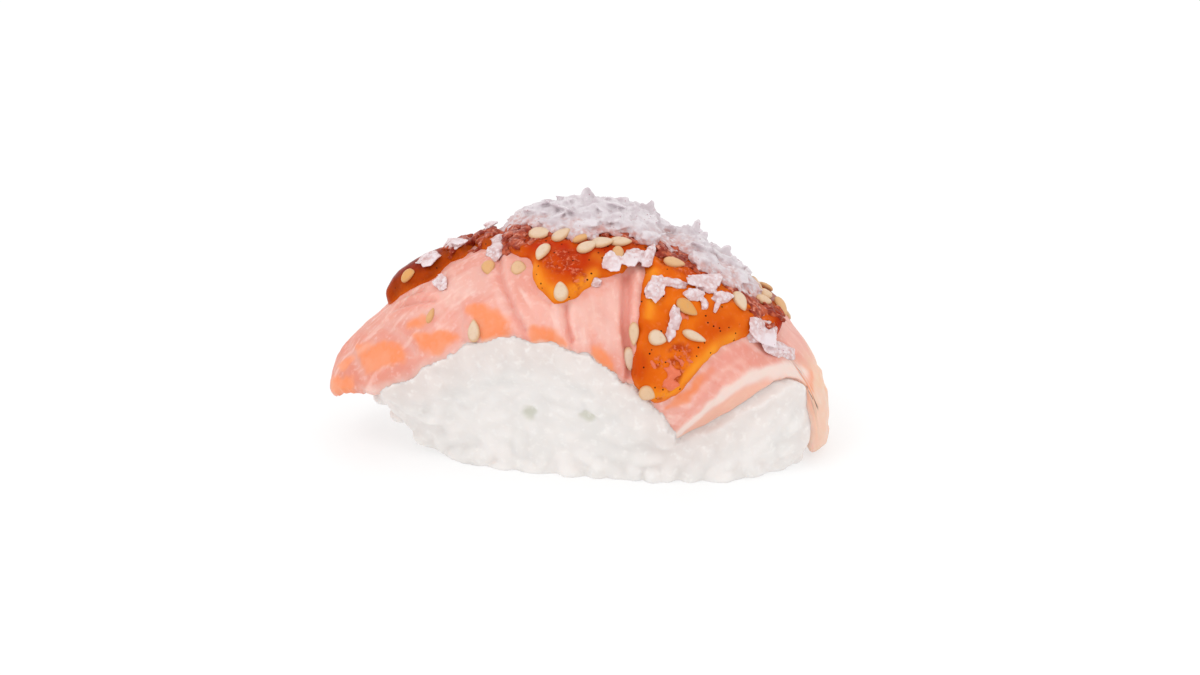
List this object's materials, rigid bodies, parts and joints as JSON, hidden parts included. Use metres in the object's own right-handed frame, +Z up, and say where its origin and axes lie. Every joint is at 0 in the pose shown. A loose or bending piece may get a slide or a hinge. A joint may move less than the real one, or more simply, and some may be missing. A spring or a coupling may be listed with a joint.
{
  "type": "nigiri",
  "caption": "Seared salmon nigiri: a draped slice of fish on a pressed rice pad, glazed and topped with sesame seeds and flaky salt, for setting on a plate, tray or board",
  "frame": {"origin": "middle of the bounding box on the plane the rice rests on", "axes": "+X to the blunt end of the rice, -Y to the side where the slice hangs lowest and the picture is taken from, +Z up"},
  "size_m": [0.0696, 0.0358, 0.0353],
  "materials": {
    "rice": "moist cooked rice, softly glossy",
    "salmon": "glossy glazed fish with pale seeds and white salt"
  },
  "bodies": {
    "root": {"rice": "rice", "salmon": "salmon"}
  },
  "joints": []
}
